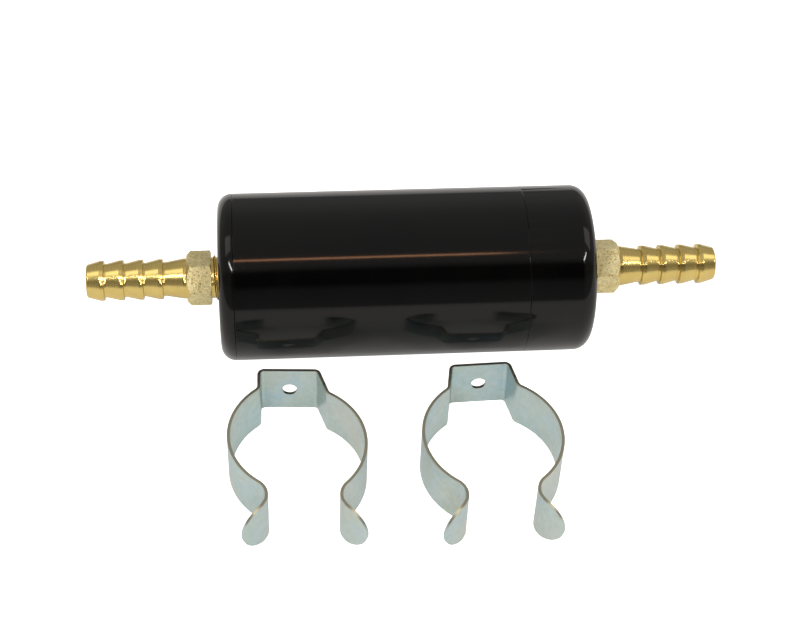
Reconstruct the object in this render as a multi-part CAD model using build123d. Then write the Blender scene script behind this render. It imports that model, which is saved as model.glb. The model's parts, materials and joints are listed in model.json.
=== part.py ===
from build123d import *
import math
import os

# Magnetic system filter: a turned canister with a hose barb at each end, a magnet core and a
# strainer carried by the service cap, and two spring clips standing beside it.
# Millimetres, +Z up. The canister's axis is X, its inlet is at -X, and its middle is the origin.
# A depth is measured into the barrel from one of its two end faces.

# Canister
canister_length = 110.6
canister_radius = 25.0
bore_radius = 22.1
inlet_flange_length = 4.5
inlet_corner_radius = 4.3
cap_length = 20.1
cap_corner_radius = 4.7
seam_chamfer = 0.15

# Screwed closure, the same at both ends of the barrel
thread_pitch = 1.5
thread_root_radius = 21.9
thread_crest_radius = 22.8
groove_crest_radius = 23.0
thread_flank_gap = 0.13
thread_start_depth = 5.7
thread_turns = 5
groove_half_width = 0.6
groove_extra_turns = 2.5
root_overlap = 0.1
seal_recess_radius = 23.25
seal_recess_depth = 5.0
spigot_land_radius = 23.1
spigot_land_depth = 4.7
spigot_depth = 14.2
chamber_radius = 19.0
end_wall = 10.0

# Seal ring, drawn squeezed to its fitted section
gland_radius = 21.6
gland_start = 1.2
gland_width = 2.5
seal_width = 2.0
seal_gap = 0.05
seal_rounding = 0.7

# Hose barb, measured from its tip
barb_tip_radius = 5.1
barb_tip_chamfer = 0.7
barb_valley_radius = 5.1
barb_crest_radius = 6.05
barb_first_crest = 5.2
barb_pitch = 5.8
barb_crests = 4
barb_land = 1.2
barb_step = 0.2
barb_flat = 0.6
shoulder_crest = 28.7
hex_start = 29.7
hex_length = 7.3
hex_flats = 14.29
hex_turned_radius = 7.0
hex_outer_chamfer = 1.3
hex_inner_chamfer = 0.35
hex_trim = 0.1
neck_length = 2.4
neck_root_radius = 6.15
neck_crest_radius = 6.85
neck_pitch = 1.41
neck_engaged = 9.4
neck_gap = 0.05
neck_ridge_root_width = 1.05
neck_ridge_crest_width = 0.15
water_bore_radius = 3.2
inlet_hex_turn = 51.0
outlet_hex_turn = 37.0

# Magnet core
sleeve_radius = 8.0
sleeve_wall = 0.6
sleeve_start = -41.3
plug_head = 2.0
nose_rounding = 1.8
nose_spigot = 3.0
tail_spigot = 4.0
magnet_length = 11.5
magnet_count = 4
pole_length = 1.5
stack_radius = 7.2
stud_radius = 3.0
stud_tip = 36.5
stud_gap = 0.1
stud_chamfer = 0.4
washer_radius = 6.0
washer_thickness = 0.8
washer_bore = 3.2
nut_flats = 10.0
nut_height = 5.0

# Strainer
screen_radius = 17.0
screen_thickness = 0.5
screen_rebate = 1.5
rebate_gap = 0.1
screen_hole_radius = 2.0
screen_columns = 14
screen_rows = 9
front_ring_radius = 18.6
front_ring_bore = 15.0
front_ring_length = 3.5
front_spider_length = 2.0
front_spider_rim = 1.8
front_spider_hub = 10.0
front_spider_spoke = 2.4
slide_gap = 0.05
rear_plate_radius = 17.6
plate_thickness = 3.0

# Spider that holds the core in the cap
spider_radius = 19.5
spider_rim = 1.9
spider_thickness = 2.5
spider_boss_radius = 6.0
spider_hub_radius = 7.5
spoke_width = 3.0
spoke_count = 3
spider_seat_radius = 19.6
retainer_thickness = 1.2
retainer_outer_radius = 20.3
retainer_inner_radius = 18.2
retainer_groove_radius = 20.4
retainer_gap_angle = 40.0

# Spring clips, bent from one strip that stands on its edge
strip_width = 16.2
strip_thickness = 0.9
clip_floor = -canister_radius
clip_hole_radius = 2.2
bridge_half = 7.18
corner_bend_radius = 1.7
foot_bend_radius = 2.0
grip_radius = 21.4
throat_radius = 5.77
tip_length = 6.5
tip_radius = 28.0
knuckle_gap = 0.05

# Each clip's place and its bridge's slant, and for each arm the leg's splay and length, the foot's
# bend, the grip's sweep and the throat's turn. The arms differ a little, as bent strips do.
clips = {
    "clip_1": {
        "place": (-35.5, -30.3),
        "slant": -3.0,
        "left_arm": (-1.8, 4.35, 50.6, 103.5, 99.4),
        "right_arm": (19.1, 7.15, 39.8, 100.8, 91.7),
    },
    "clip_2": {
        "place": (20.55, -30.45),
        "slant": 1.8,
        "left_arm": (10.8, 6.55, 42.8, 103.8, 98.2),
        "right_arm": (10.5, 6.8, 44.9, 105.8, 93.4),
    },
}

# Worked out
end_x = canister_length / 2
plug_face = -end_x + inlet_flange_length
cap_face = end_x - cap_length
half_turn = Rotation(0, 0, 180)


def turned(points, rounds=()):
    """A solid turned about X from (x, radius) points; rounds holds (point's index, radius) pairs."""
    face = make_face(Polyline(*points, close=True))
    for index, radius in rounds:
        corner = Vector(*points[index])
        face = fillet(face.vertices().sort_by_distance(corner)[0], radius)
    return revolve(face, Axis.X)


def rod(x_start, x_end, radius):
    """A plain round bar along X."""
    return turned([(x_start, 0), (x_start, radius), (x_end, radius), (x_end, 0)])


def tube(x_start, x_end, outer, inner):
    """A plain round tube along X."""
    return turned([(x_start, inner), (x_start, outer), (x_end, outer), (x_end, inner)])


def helical_ridge(x_start, turns, pitch, root, crest, root_width, crest_width):
    """A right-hand thread ridge about X; the same start and pitch give a matching groove."""
    path = Helix(pitch=pitch, height=turns * pitch, radius=root)
    section = Plane(origin=(root, 0, 0), x_dir=(1, 0, 0), z_dir=(0, -1, 0)) * Polygon(
        (0, -root_width / 2),
        (crest - root, -crest_width / 2),
        (crest - root, crest_width / 2),
        (0, root_width / 2),
        align=None,
    )
    ridge = sweep(section, path=path, is_frenet=True)
    return Pos(x_start, 0, 0) * Rotation(0, 90, 0) * ridge


def closure_thread(depth, turns, root, crest, gap):
    """The closure's 60 degree ridge for a barrel that runs from x = 0 towards +X."""
    flank_slope = math.tan(math.radians(30))

    def width(radius):
        return 2 * (groove_half_width - flank_slope * (radius - bore_radius) - gap)

    return helical_ridge(depth, turns, thread_pitch, root, crest, width(root), width(crest))


def hexagon(x_start, x_end, flats):
    """A hexagonal bar along X with one pair of flats level."""
    outline = Plane.YZ * RegularPolygon(flats / 2, 6, major_radius=False)
    return Pos(x_start, 0, 0) * extrude(outline, x_end - x_start)


def spokes(x_start, x_end, width, reach, count):
    """Flat spokes from the axis, evenly spaced about X."""
    length = x_end - x_start
    spoke = Pos(x_start + length / 2, reach / 2, 0) * Box(length, reach, width)
    return [Rotation(360 * i / count + 90, 0, 0) * spoke for i in range(count)]


# ---- Barrel ----

def make_barrel():
    """The open tube, threaded inside at both ends, with a plain seal recess at each mouth."""
    body = turned([
        (plug_face, bore_radius),
        (plug_face, canister_radius - seam_chamfer),
        (plug_face + seam_chamfer, canister_radius),
        (cap_face - seam_chamfer, canister_radius),
        (cap_face, canister_radius - seam_chamfer),
        (cap_face, bore_radius),
    ])
    groove = closure_thread(
        thread_start_depth - thread_pitch,
        thread_turns + groove_extra_turns,
        bore_radius - root_overlap,
        groove_crest_radius,
        0,
    )
    mouth = rod(-1, seal_recess_depth, seal_recess_radius)
    for at_end in (Pos(plug_face, 0, 0), Pos(cap_face, 0, 0) * half_turn):
        body = body - at_end * mouth - at_end * groove
    return body


# ---- Screwed ends ----

def make_closure(flange_length, corner_radius):
    """A flanged end with a threaded spigot, its face on x = 0 and its spigot towards +X."""
    body = turned(
        [
            (-flange_length, 0),
            (-flange_length, canister_radius),
            (-seam_chamfer, canister_radius),
            (0, canister_radius - seam_chamfer),
            (0, spigot_land_radius),
            (gland_start, spigot_land_radius),
            (gland_start, gland_radius),
            (gland_start + gland_width, gland_radius),
            (gland_start + gland_width, spigot_land_radius),
            (spigot_land_depth, spigot_land_radius),
            (spigot_land_depth, thread_root_radius),
            (spigot_depth, thread_root_radius),
            (spigot_depth, 0),
        ],
        rounds=[(1, corner_radius)],
    )
    ridge = closure_thread(
        thread_start_depth,
        thread_turns,
        thread_root_radius - root_overlap,
        thread_crest_radius,
        thread_flank_gap,
    )
    chamber = rod(end_wall - flange_length, spigot_depth + 1, chamber_radius)
    neck_hole = rod(-flange_length - 1, end_wall - flange_length + 1, neck_crest_radius + neck_gap)
    return body + ridge - chamber - neck_hole


def make_inlet_end_plug():
    """The fixed end, screwed into the barrel at the inlet."""
    return Pos(plug_face, 0, 0) * make_closure(inlet_flange_length, inlet_corner_radius)


def make_service_cap():
    """The end that unscrews for cleaning, with a seat and a groove for the core's spider."""
    cap = Pos(cap_face, 0, 0) * half_turn * make_closure(cap_length, cap_corner_radius)
    mouth = cap_face - spigot_depth
    seat = rod(mouth - 1, spider_seat_x, spider_seat_radius)
    ring_groove = rod(retainer_x - slide_gap, retainer_x + retainer_thickness, retainer_groove_radius)
    return cap - seat - ring_groove


def make_seal():
    """The seal ring of a closure whose face is on x = 0."""
    middle = gland_start + gland_width / 2
    inner = gland_radius + seal_gap
    outer = seal_recess_radius - seal_gap
    return turned(
        [
            (middle - seal_width / 2, inner),
            (middle - seal_width / 2, outer),
            (middle + seal_width / 2, outer),
            (middle + seal_width / 2, inner),
        ],
        rounds=[(corner, seal_rounding) for corner in range(4)],
    )


# ---- Hose barbs ----

def barb_outline():
    """(x, radius) points of the barbed stem, from its tip at x = 0 to the hexagon."""
    points = [(0, barb_tip_radius - barb_tip_chamfer), (barb_tip_chamfer, barb_tip_radius)]
    for i in range(barb_crests):
        crest = barb_first_crest + i * barb_pitch
        points.append((crest - barb_land, barb_crest_radius))
        points.append((crest, barb_crest_radius))
        points.append((crest + barb_step, barb_valley_radius))
        points.append((crest + barb_step + barb_flat, barb_valley_radius))
    points.append((shoulder_crest, barb_crest_radius))
    points.append((hex_start + 1, barb_crest_radius))
    return points


def make_hose_barb():
    """Barbed stem, hexagon and taper-threaded neck in one turned piece, with its tip at x = 0."""
    stem = turned([(0, 0)] + barb_outline() + [(hex_start + 1, 0)])
    hex_end = hex_start + hex_length
    corner = hex_flats / math.sqrt(3) + hex_trim
    envelope = turned([
        (hex_start, 0),
        (hex_start, hex_turned_radius),
        (hex_start + hex_outer_chamfer, corner),
        (hex_end - hex_inner_chamfer, corner),
        (hex_end, corner - 2 * hex_inner_chamfer),
        (hex_end, 0),
    ])
    nut = hexagon(hex_start, hex_end, hex_flats) & envelope
    neck_end = hex_end + neck_length + neck_engaged
    neck = rod(hex_end - 1, neck_end, neck_root_radius)
    ridge_start = hex_end + neck_pitch / 2
    ridge = helical_ridge(
        ridge_start,
        (neck_end - ridge_start) / neck_pitch - 0.5,
        neck_pitch,
        neck_root_radius - root_overlap,
        neck_crest_radius,
        neck_ridge_root_width,
        neck_ridge_crest_width,
    )
    return stem + nut + neck + ridge - rod(-1, neck_end + 1, water_bore_radius)


# ---- Magnet core ----

def make_sleeve():
    """The thin tube that keeps the magnets dry."""
    return tube(sleeve_start, sleeve_end, sleeve_radius, sleeve_radius - sleeve_wall)


def make_nose_plug():
    """The rounded plug at the sleeve's inlet end."""
    head = turned(
        [
            (sleeve_start - plug_head, 0),
            (sleeve_start - plug_head, sleeve_radius),
            (sleeve_start, sleeve_radius),
            (sleeve_start, 0),
        ],
        rounds=[(1, nose_rounding)],
    )
    return head + rod(sleeve_start, stack_start, sleeve_radius - sleeve_wall)


def make_tail_plug():
    """The plug at the cap's end, with the stud that holds the core to the spider."""
    spigot = rod(stack_end, sleeve_end, sleeve_radius - sleeve_wall)
    head = rod(sleeve_end, plate_x, sleeve_radius)
    stud = rod(plate_x, stud_tip, stud_radius)
    return spigot + head + chamfer(stud.edges().sort_by(Axis.X)[-1], stud_chamfer)


def make_core_nut():
    """The nut on the core's stud."""
    start = washer_x + washer_thickness
    nut = hexagon(start, start + nut_height, nut_flats)
    return nut - rod(start - 1, start + nut_height + 1, stud_radius + stud_gap)


# ---- Strainer ----

def make_screen():
    """The perforated tube round the core, its rows of holes staggered."""
    start = front_ring_x + front_ring_length - screen_rebate
    end = plate_x + screen_rebate
    screen = tube(start, end, screen_radius, screen_radius - screen_thickness)
    drill = Pos(0, 0, screen_radius) * Cylinder(screen_hole_radius, 4 * screen_thickness)
    row_pitch = (end - start - 2 * screen_rebate) / screen_rows
    holes = []
    for row in range(screen_rows):
        x = start + screen_rebate + (row + 0.5) * row_pitch
        for column in range(screen_columns):
            angle = 360 * (column + 0.5 * (row % 2)) / screen_columns
            holes.append(Pos(x, 0, 0) * Rotation(angle, 0, 0) * drill)
    return screen - holes


def screen_rebate_at(x_start):
    """The ring-shaped groove that takes one end of the screen."""
    inner = screen_radius - screen_thickness - rebate_gap
    return tube(x_start, x_start + screen_rebate, screen_radius + rebate_gap, inner)


def make_front_ring():
    """The ring that holds the screen's inlet end inside the inlet plug."""
    ring_end = front_ring_x + front_ring_length
    ring = tube(front_ring_x, ring_end, front_ring_radius, front_ring_bore)
    return ring - screen_rebate_at(ring_end - screen_rebate)


def make_front_spider():
    """Three spokes that centre the core in the front ring."""
    end = front_ring_x + front_spider_length
    rim = tube(front_ring_x, end, front_ring_bore - slide_gap, front_ring_bore - front_spider_rim)
    hub = rod(front_ring_x, end, front_spider_hub)
    arms = spokes(front_ring_x, end, front_spider_spoke, front_ring_bore - 1, spoke_count)
    return rim + hub + arms - rod(front_ring_x - 1, end + 1, sleeve_radius + slide_gap)


def make_rear_plate():
    """The plate that closes the screen's outlet end, so that the water leaves through the holes."""
    plate = rod(plate_x, plate_x + plate_thickness, rear_plate_radius)
    stud_hole = rod(plate_x - 1, plate_x + plate_thickness + 1, stud_radius + stud_gap)
    return plate - stud_hole - screen_rebate_at(plate_x)


# ---- Spider and its ring ----

def make_spider():
    """The open wheel seated in the cap, with a boss that stands the rear plate off."""
    start = plate_x + plate_thickness
    rim = tube(spider_x, spider_seat_x, spider_radius, spider_radius - spider_rim)
    hub = rod(spider_x, spider_seat_x, spider_hub_radius)
    boss = rod(start, spider_x, spider_boss_radius)
    arms = spokes(spider_x, spider_seat_x, spoke_width, spider_radius - 1, spoke_count)
    return rim + hub + boss + arms - rod(start - 1, spider_seat_x + 1, stud_radius + stud_gap)


def make_retaining_ring():
    """The open snap ring that keeps the spider on its seat."""
    ring = tube(retainer_x, spider_x, retainer_outer_radius, retainer_inner_radius)
    cut_width = 2 * retainer_inner_radius * math.tan(math.radians(retainer_gap_angle / 2))
    cut = Pos(retainer_x + retainer_thickness / 2, 0, -retainer_outer_radius)
    return ring - cut * Box(2 * retainer_thickness, cut_width, retainer_outer_radius)


# ---- Spring clips ----

def strip(start, heading, runs):
    """A strip on edge along (length, turn in degrees) runs, and its end point and heading."""
    half = strip_thickness / 2
    sides = {half: [], -half: []}
    point = Vector(*start)
    angle = heading
    first = None
    for length, turn in runs:
        tangent = Vector(1, 0).rotate(Axis.Z, angle)
        normal = tangent.rotate(Axis.Z, 90)
        if first is None:
            first = (point + normal * half, point - normal * half)
        if turn:
            radius = length / abs(math.radians(turn))
            middle = point + normal * math.copysign(radius, turn)
            end = middle + (point - middle).rotate(Axis.Z, turn)
        else:
            end = point + tangent * length
        for offset, edges in sides.items():
            begin = point + normal * offset
            if turn:
                edges.append(JernArc(begin, tangent, radius - math.copysign(offset, turn * offset), turn))
            else:
                edges.append(Line(begin, begin + tangent * length))
        point = end
        angle = angle + turn
    normal = Vector(1, 0).rotate(Axis.Z, angle + 90)
    ends = [Line(*first), Line(point + normal * half, point - normal * half)]
    outline = make_face([*sides[half], *sides[-half], *ends])
    return Pos(0, 0, clip_floor) * extrude(outline, strip_width), point, angle


def round_tip(arm, end, angle):
    """Rounds the strip's free end to a half circle as wide as the strip."""
    reach = strip_width / 2
    back = end - Vector(reach, 0).rotate(Axis.Z, angle)
    place = Pos(back.X, back.Y, clip_floor + reach) * Rotation(0, 0, angle)
    waste = Pos(reach, 0, 0) * Box(2 * reach, reach, strip_width + 2)
    waste = waste - Rotation(90, 0, 0) * Cylinder(reach, 2 * reach)
    return arm - place * waste


def make_half_clip(splay, leg_length, foot_turn, grip_turn, throat_turn):
    """One half of a clip: its half bridge with the leg, and its arm, along +X and then -Y."""
    corner_turn = 90 - splay
    bend = math.radians(corner_turn) * corner_bend_radius
    half_bridge, foot, angle = strip(
        (0, 0), 0, [(bridge_half, 0), (bend, -corner_turn), (leg_length, 0)]
    )
    arm, end, tip_angle = strip(
        (foot.X, foot.Y),
        angle,
        [
            (math.radians(foot_turn) * foot_bend_radius, foot_turn),
            (math.radians(grip_turn) * grip_radius, -grip_turn),
            (math.radians(throat_turn) * throat_radius, throat_turn),
            (tip_length, math.degrees(tip_length / tip_radius)),
        ],
    )
    middle = clip_floor + strip_width / 2
    at_foot = Pos(foot.X, foot.Y, middle)
    arm = round_tip(arm, end, tip_angle - math.degrees(tip_length / tip_radius) / 2)
    arm = arm + at_foot * Cylinder(strip_thickness / 2, strip_width)
    half_bridge = half_bridge - at_foot * Cylinder(strip_thickness / 2 + knuckle_gap, strip_width + 2)
    return half_bridge, arm, foot


def make_clip(name, clip):
    """A clip's bridge, left arm and right arm in place, with the two knuckles' places printed."""
    at_clip = Pos(clip["place"][0], clip["place"][1], 0) * Rotation(0, 0, clip["slant"])
    bridge = None
    pieces = {}
    for side in ("left_arm", "right_arm"):
        half_bridge, arm, foot = make_half_clip(*clip[side])
        if side == "left_arm":
            half_bridge = mirror(half_bridge, Plane.YZ)
            arm = mirror(arm, Plane.YZ)
            foot = Vector(-foot.X, foot.Y)
        bridge = half_bridge if bridge is None else bridge + half_bridge
        pieces[f"{name}_{side}"] = at_clip * arm
        knuckle = (at_clip * Pos(foot.X, foot.Y, 0)).position
        print(f"{name}_{side} knuckle at x {knuckle.X:.3f} y {knuckle.Y:.3f}")
    screw_hole = Pos(0, 0, clip_floor + strip_width / 2) * Rotation(90, 0, 0)
    bridge = bridge - screw_hole * Cylinder(clip_hole_radius, 4 * strip_thickness)
    pieces[f"{name}_bridge"] = at_clip * bridge
    return pieces


# ---- Places along the axis ----

stack_start = sleeve_start + nose_spigot
stack_end = stack_start + magnet_count * magnet_length + (magnet_count + 1) * pole_length
sleeve_end = stack_end + tail_spigot
plate_x = sleeve_end + plug_head
spider_x = plate_x + plate_thickness + spider_thickness
spider_seat_x = spider_x + spider_thickness
retainer_x = spider_x - retainer_thickness
washer_x = spider_seat_x
front_ring_x = sleeve_start

# ---- The whole object ----

nodes = {
    "barrel": make_barrel(),
    "inlet_end_plug": make_inlet_end_plug(),
    "service_cap": make_service_cap(),
    "inlet_plug_o_ring": Pos(plug_face, 0, 0) * make_seal(),
    "cap_o_ring": Pos(cap_face, 0, 0) * half_turn * make_seal(),
    "magnet_sleeve": make_sleeve(),
    "sleeve_nose_plug": make_nose_plug(),
    "sleeve_tail_plug": make_tail_plug(),
    "core_washer": tube(washer_x, washer_x + washer_thickness, washer_radius, washer_bore),
    "core_nut": make_core_nut(),
    "strainer_screen": make_screen(),
    "strainer_front_ring": make_front_ring(),
    "strainer_front_spider": make_front_spider(),
    "strainer_rear_plate": make_rear_plate(),
    "core_spider": make_spider(),
    "spider_retaining_ring": make_retaining_ring(),
}

hose_barb = make_hose_barb()
barb_reach = hex_start + hex_length + neck_length
inlet_place = Pos(-end_x - barb_reach, 0, 0) * Rotation(inlet_hex_turn, 0, 0)
outlet_place = Pos(end_x + barb_reach, 0, 0) * Rotation(outlet_hex_turn, 0, 0) * half_turn
nodes["inlet_hose_barb"] = inlet_place * hose_barb
nodes["outlet_hose_barb"] = outlet_place * hose_barb

for i in range(magnet_count + 1):
    pole_x = stack_start + i * (pole_length + magnet_length)
    nodes[f"pole_piece_{i + 1}"] = rod(pole_x, pole_x + pole_length, stack_radius)
    if i < magnet_count:
        magnet_x = pole_x + pole_length
        nodes[f"magnet_{i + 1}"] = rod(magnet_x, magnet_x + magnet_length, stack_radius)

for name, clip in clips.items():
    nodes.update(make_clip(name, clip))

os.makedirs("parts", exist_ok=True)
for name, shape in nodes.items():
    export_step(shape, f"parts/{name}.step")
print(len(nodes), "nodes written")
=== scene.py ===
import json
import math

import bpy
from mathutils import Matrix, Vector


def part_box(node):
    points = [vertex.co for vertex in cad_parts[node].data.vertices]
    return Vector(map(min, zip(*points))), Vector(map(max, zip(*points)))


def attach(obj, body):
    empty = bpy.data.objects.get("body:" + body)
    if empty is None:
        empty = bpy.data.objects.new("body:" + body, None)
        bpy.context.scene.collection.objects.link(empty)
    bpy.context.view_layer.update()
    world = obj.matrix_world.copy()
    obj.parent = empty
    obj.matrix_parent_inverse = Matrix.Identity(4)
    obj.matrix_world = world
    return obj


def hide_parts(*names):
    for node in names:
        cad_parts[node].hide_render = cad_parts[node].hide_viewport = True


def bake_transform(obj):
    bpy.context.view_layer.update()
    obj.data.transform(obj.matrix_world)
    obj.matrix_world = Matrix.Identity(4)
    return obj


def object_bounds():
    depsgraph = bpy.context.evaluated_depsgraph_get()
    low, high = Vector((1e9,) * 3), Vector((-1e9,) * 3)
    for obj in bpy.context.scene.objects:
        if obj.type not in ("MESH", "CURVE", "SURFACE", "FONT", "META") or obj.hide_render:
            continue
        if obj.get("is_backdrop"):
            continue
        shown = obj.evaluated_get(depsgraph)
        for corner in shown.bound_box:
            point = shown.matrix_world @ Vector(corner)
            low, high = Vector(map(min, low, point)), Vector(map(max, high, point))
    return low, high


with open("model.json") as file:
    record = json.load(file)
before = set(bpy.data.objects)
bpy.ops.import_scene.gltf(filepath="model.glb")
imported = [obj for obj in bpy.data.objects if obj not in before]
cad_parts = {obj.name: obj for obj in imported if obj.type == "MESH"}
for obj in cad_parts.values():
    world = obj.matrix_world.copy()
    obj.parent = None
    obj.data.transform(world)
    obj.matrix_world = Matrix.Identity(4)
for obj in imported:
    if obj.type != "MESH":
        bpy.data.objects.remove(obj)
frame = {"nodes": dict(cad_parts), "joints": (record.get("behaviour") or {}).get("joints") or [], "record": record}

# Magnetic system filter: canister with two hose barbs, and two spring clips in front of it
# Metres, canister axis along X, floor at the bottom of the frame's box

cadLow, cadHigh = (list(corner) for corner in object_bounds())
joints = {joint["name"]: joint for joint in frame["joints"]}
mounts = {mount["name"]: mount for mount in frame["record"]["mounts"]}
nodes = frame["nodes"]

barrelLow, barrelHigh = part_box("barrel")
plugLow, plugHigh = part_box("inlet_end_plug")
capLow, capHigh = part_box("service_cap")
axisRadius = barrelHigh.z
floorHeight = cadLow[2]


# ---- small helpers ----

def pickOnly(piece):
    bpy.ops.object.select_all(action="DESELECT")
    piece.select_set(True)
    bpy.context.view_layer.objects.active = piece


def settle(piece):
    pickOnly(piece)
    bpy.ops.object.transform_apply(location=True, rotation=True, scale=True)


def applyModifier(piece, kind, **settings):
    pickOnly(piece)
    modifier = piece.modifiers.new(kind.title(), kind)
    for key, value in settings.items():
        setattr(modifier, key, value)
    bpy.ops.object.modifier_apply(modifier=modifier.name)


def combine(piece, other, operation):
    applyModifier(piece, "BOOLEAN", object=other, operation=operation, solver="EXACT")
    bpy.data.objects.remove(other)


mergeGap = 1e-7  # points closer than this become one
smoothAngle = 32
bevelAngle = 28


def closeUp(piece):
    pickOnly(piece)
    bpy.ops.object.mode_set(mode="EDIT")
    bpy.ops.mesh.select_all(action="SELECT")
    bpy.ops.mesh.remove_doubles(threshold=mergeGap)
    bpy.ops.mesh.normals_make_consistent(inside=False)
    bpy.ops.object.mode_set(mode="OBJECT")


def softenEdges(piece, width, angle=bevelAngle, smooth=smoothAngle):
    applyModifier(
        piece, "BEVEL", width=width, segments=2, limit_method="ANGLE",
        angle_limit=math.radians(angle), use_clamp_overlap=True,
    )
    pickOnly(piece)
    bpy.ops.object.shade_smooth_by_angle(angle=math.radians(smooth))
    applyModifier(piece, "WEIGHTED_NORMAL", keep_sharp=True)  # keeps long faces' reflections straight


def turnPiece(name, outline, steps):
    # a ring drawn out and scaled from point to point, as on a lathe; the outline closes on itself
    x, radius = outline[0]
    bpy.ops.object.select_all(action="DESELECT")
    bpy.ops.mesh.primitive_circle_add(
        vertices=steps, radius=radius, location=(x, 0, 0), rotation=(0, math.pi / 2, 0)
    )
    piece = bpy.context.object
    piece.name = name
    settle(piece)
    bpy.ops.object.mode_set(mode="EDIT")
    bpy.ops.mesh.select_all(action="SELECT")
    for nextX, nextRadius in outline[1:] + outline[:1]:
        bpy.ops.mesh.extrude_region_move(TRANSFORM_OT_translate={"value": (nextX - x, 0, 0)})
        scale = nextRadius / radius
        bpy.ops.transform.resize(value=(1, scale, scale), center_override=(nextX, 0, 0))
        x, radius = nextX, nextRadius
    bpy.ops.object.mode_set(mode="OBJECT")
    closeUp(piece)
    return piece


def roundCorner(centreX, centreRadius, reach, startAngle, endAngle, steps):
    # outline points on an arc, angles from +X towards larger radius
    points = []
    for i in range(steps + 1):
        angle = math.radians(startAngle + (endAngle - startAngle) * i / steps)
        points.append((centreX + reach * math.cos(angle), centreRadius + reach * math.sin(angle)))
    return points


threadSteps = 96
threadOverlap = 0.0001  # how far a ridge is sunk below its root


def screwRidge(name, startX, pitch, turns, threadRoot, crestRadius, rootWidth, crestWidth):
    # a right-hand thread ridge, screwed out of its cross-section
    rootRadius = threadRoot - threadOverlap
    bpy.ops.object.select_all(action="DESELECT")
    bpy.ops.mesh.primitive_plane_add(
        size=1, location=((rootRadius + crestRadius) / 2, 0, 0), rotation=(math.pi / 2, 0, 0)
    )
    piece = bpy.context.object
    piece.name = name
    piece.scale = (crestRadius - rootRadius, rootWidth, 1)
    settle(piece)
    for vertex in piece.data.vertices:
        vertex.select = vertex.co.x > (rootRadius + crestRadius) / 2
    for edge in piece.data.edges:
        edge.select = all(piece.data.vertices[i].select for i in edge.vertices)
    for face in piece.data.polygons:
        face.select = False
    bpy.ops.object.mode_set(mode="EDIT")
    bpy.ops.transform.resize(value=(1, 1, crestWidth / rootWidth), center_override=(crestRadius, 0, 0))
    bpy.ops.object.mode_set(mode="OBJECT")
    applyModifier(
        piece, "SCREW", axis="Z", screw_offset=pitch, iterations=turns, steps=threadSteps,
        render_steps=threadSteps, use_merge_vertices=False, use_normal_calculate=True,
    )
    pickOnly(piece)
    bpy.ops.object.mode_set(mode="EDIT")
    bpy.ops.mesh.select_all(action="SELECT")
    bpy.ops.mesh.fill_holes(sides=4)
    bpy.ops.mesh.normals_make_consistent(inside=False)
    bpy.ops.object.mode_set(mode="OBJECT")
    piece.rotation_euler = (0, math.pi / 2, 0)
    piece.location = (startX, 0, 0)
    settle(piece)
    return piece


def finishPiece(piece, body, replaced, materials):
    piece.data.materials.clear()
    for material in materials:
        piece.data.materials.append(material)
    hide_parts(*replaced)
    if isinstance(body, str):
        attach(piece, body)
    else:
        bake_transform(piece)
    return piece


# ---- material building blocks ----

class NodeBoard:
    # short ways to add and join shader nodes
    def __init__(self, tree):
        self.tree = tree

    def add(self, kind, inputs=None, **settings):
        node = self.tree.nodes.new(kind)
        for key, value in settings.items():
            setattr(node, key, value)
        for key, value in (inputs or {}).items():
            if isinstance(value, bpy.types.NodeSocket):
                self.tree.links.new(value, node.inputs[key])
            else:
                node.inputs[key].default_value = value
        return node

    def maths(self, operation, first, second=0.0):
        return self.add("ShaderNodeMath", {0: first, 1: second}, operation=operation).outputs[0]

    def remap(self, value, fromLow, fromHigh, toLow, toHigh):
        inputs = {
            "Value": value, "From Min": fromLow, "From Max": fromHigh, "To Min": toLow, "To Max": toHigh
        }
        return self.add("ShaderNodeMapRange", inputs).outputs[0]

    def mixColour(self, factor, first, second):
        node = self.add("ShaderNodeMix", data_type="RGBA")
        sockets = (node.inputs[0], node.inputs[6], node.inputs[7])
        for socket, value in zip(sockets, (factor, first, second)):
            if isinstance(value, bpy.types.NodeSocket):
                self.tree.links.new(value, socket)
            else:
                socket.default_value = value
        return node.outputs[2]


def newGroup(name, inputs, outputs):
    group = bpy.data.node_groups.new(name, "ShaderNodeTree")
    for label, kind, value in inputs:
        socket = group.interface.new_socket(label, in_out="INPUT", socket_type=kind)
        socket.default_value = value
    for label, kind in outputs:
        group.interface.new_socket(label, in_out="OUTPUT", socket_type=kind)
    board = NodeBoard(group)
    return group, board, board.add("NodeGroupInput").outputs, board.add("NodeGroupOutput")


turningValues = {
    "ringDetail": 3.0, "ringRoughness": 0.65, "waveScale": 240.0, "waveDetail": 2.0, "maskLow": 0.35,
    "maskHigh": 0.65,
}


def makeTurningGroup():
    # fine rings left by the lathe along X, and slow waviness
    v = turningValues
    group, board, given, out = newGroup(
        "turningMarks",
        [("Rings per metre", "NodeSocketFloat", 9000.0), ("Waviness", "NodeSocketFloat", 0.3)],
        [("Height", "NodeSocketFloat"), ("Ring mask", "NodeSocketFloat")],
    )
    place = board.add("ShaderNodeTexCoord").outputs["Object"]
    along = board.add("ShaderNodeSeparateXYZ", {0: place}).outputs["X"]
    ringPlace = board.maths("MULTIPLY", along, given["Rings per metre"])
    rings = board.add(
        "ShaderNodeTexNoise",
        {"W": ringPlace, "Scale": 1.0, "Detail": v["ringDetail"], "Roughness": v["ringRoughness"]},
        noise_dimensions="1D",
    ).outputs["Fac"]
    waves = board.add(
        "ShaderNodeTexNoise", {"Vector": place, "Scale": v["waveScale"], "Detail": v["waveDetail"]}
    ).outputs["Fac"]
    wavy = board.maths("MULTIPLY", waves, given["Waviness"])
    board.tree.links.new(board.maths("ADD", rings, wavy), out.inputs["Height"])
    ringMask = board.remap(rings, v["maskLow"], v["maskHigh"], 0.0, 1.0)
    board.tree.links.new(ringMask, out.inputs["Ring mask"])
    return group


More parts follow.
